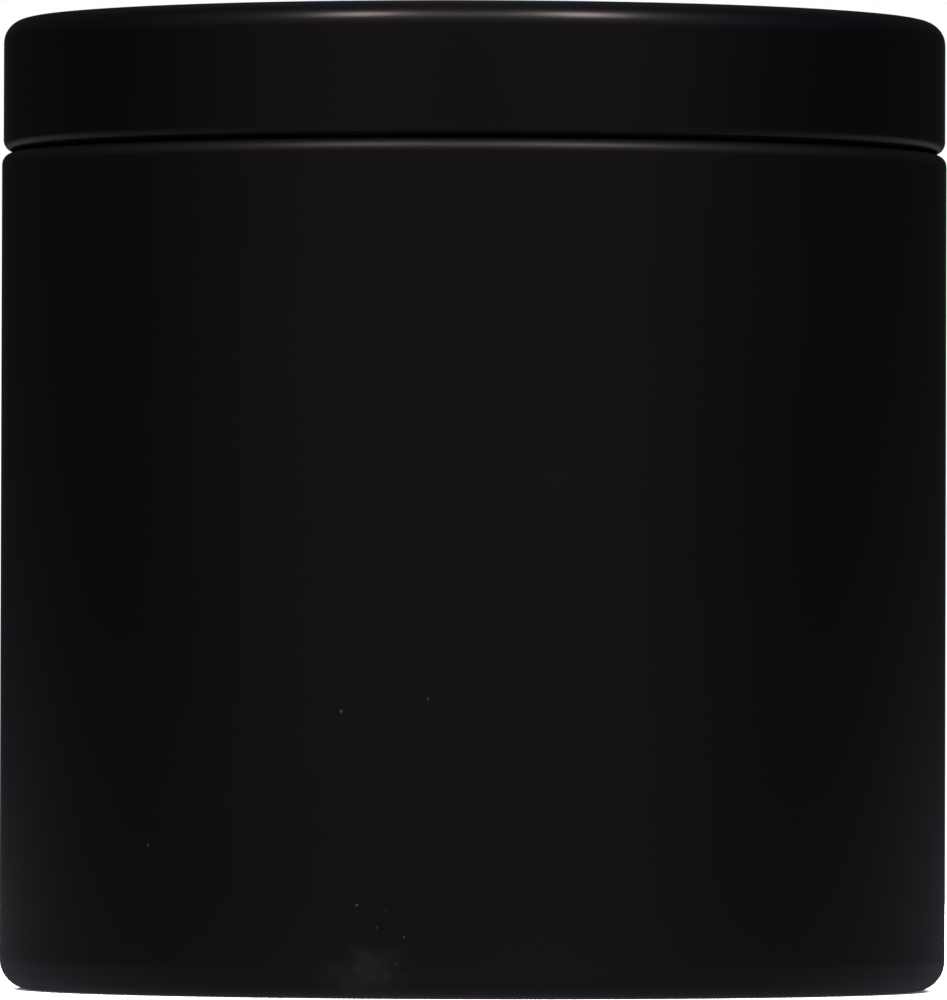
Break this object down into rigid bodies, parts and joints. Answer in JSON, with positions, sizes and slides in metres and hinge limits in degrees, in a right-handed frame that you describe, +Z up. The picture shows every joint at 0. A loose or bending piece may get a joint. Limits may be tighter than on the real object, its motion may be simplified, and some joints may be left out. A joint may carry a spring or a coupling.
{
  "type": "candle tin",
  "caption": "Round seamless metal tin with a flush slip lid that lifts off, holding a cast wax fill and a standing wick.",
  "frame": {"origin": "centre of the foot ring, on the surface that the tin stands on", "axes": "+Z up the tin's axis, from the base to the lid; the tin is round, so X and Y are free, and -Y is taken as the front"},
  "size_m": [0.08, 0.08, 0.082],
  "materials": {
    "black_coat": "satin",
    "soy_wax": "satin",
    "cotton_braid": "matte",
    "paper_core": "matte",
    "bare_tinplate": "satin",
    "foam_sticker": "matte"
  },
  "bodies": {
    "tin": {"tin_body": "black_coat", "wax": "soy_wax", "wick_braid": "cotton_braid", "wick_core": "paper_core", "wick_tab": "bare_tinplate", "wick_sticker": "foam_sticker"},
    "lid": {"lid": "black_coat"}
  },
  "joints": [
    {"name": "lid_lift", "type": "slide", "parent": "tin", "child": "lid", "axis": [0, 0, 1], "range_m": [0, 0.05]}
  ]
}
